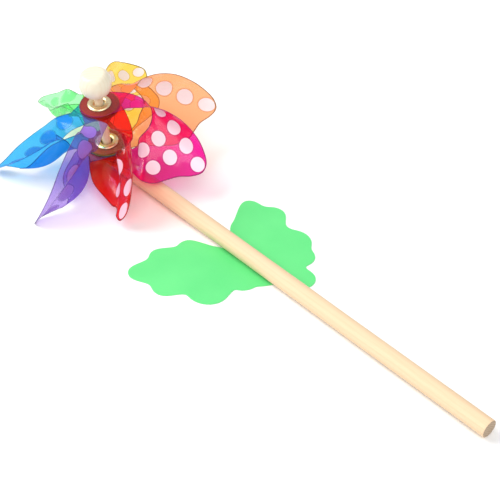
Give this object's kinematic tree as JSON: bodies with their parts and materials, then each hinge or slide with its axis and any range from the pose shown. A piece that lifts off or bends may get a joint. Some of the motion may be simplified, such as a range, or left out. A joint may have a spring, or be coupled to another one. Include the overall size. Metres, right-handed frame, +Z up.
{
  "type": "pinwheel",
  "caption": "Pinwheel on a wooden dowel: clear coloured vanes bent between two brass eyelets, a bead on the axle, and a scalloped leaf sheet under the stick.",
  "frame": {"origin": "bottom centre of the whole object's box, on the table it lies on", "axes": "+X along the stick from the wheel to the handle's end, +Z up from the table, +Y across the stick"},
  "size_m": [0.3514, 0.1358, 0.0689],
  "materials": {
    "dowel_wood": "plain sanded, unvarnished",
    "peg_wood": "plain sanded",
    "bead_wood": "smooth, lightly waxed",
    "spacer_plastic": "plain",
    "brass": "bright",
    "leaf_plastic": "satin sheet",
    "glue": "dull",
    "vane_magenta": "clear coloured sheet with printed white dots",
    "vane_orange": "clear coloured sheet with printed white dots",
    "vane_yellow": "clear coloured sheet with printed white dots",
    "vane_green": "clear coloured sheet with printed white dots",
    "vane_blue": "clear coloured sheet with printed white dots",
    "vane_purple": "clear coloured sheet with printed white dots",
    "vane_red": "clear coloured sheet with printed white dots"
  },
  "bodies": {
    "root": {"stick": "dowel_wood", "axle_peg": "peg_wood", "bead_cap": "bead_wood", "leaf_sheet": "leaf_plastic", "leaf_glue_pad": "glue"},
    "spacer": {"spacer_washer": "spacer_plastic"},
    "wheel": {"front_eyelet": "brass", "front_washer": "brass", "back_eyelet": "brass", "back_washer": "brass", "vane_magenta": "vane_magenta", "vane_orange": "vane_orange", "vane_yellow": "vane_yellow", "vane_green": "vane_green", "vane_blue": "vane_blue", "vane_purple": "vane_purple", "vane_red": "vane_red"}
  },
  "joints": [
    {"name": "wheel_float", "type": "slide", "parent": "root", "child": "spacer", "axis": [0, -0.1736, 0.9848], "range_m": [0, 0.007]},
    {"name": "wheel_spin", "type": "hinge", "parent": "spacer", "child": "wheel", "pos_m": [-0.11226, 0.00193, 0.006], "axis": [0, -0.1736, 0.9848], "continuous": true}
  ]
}
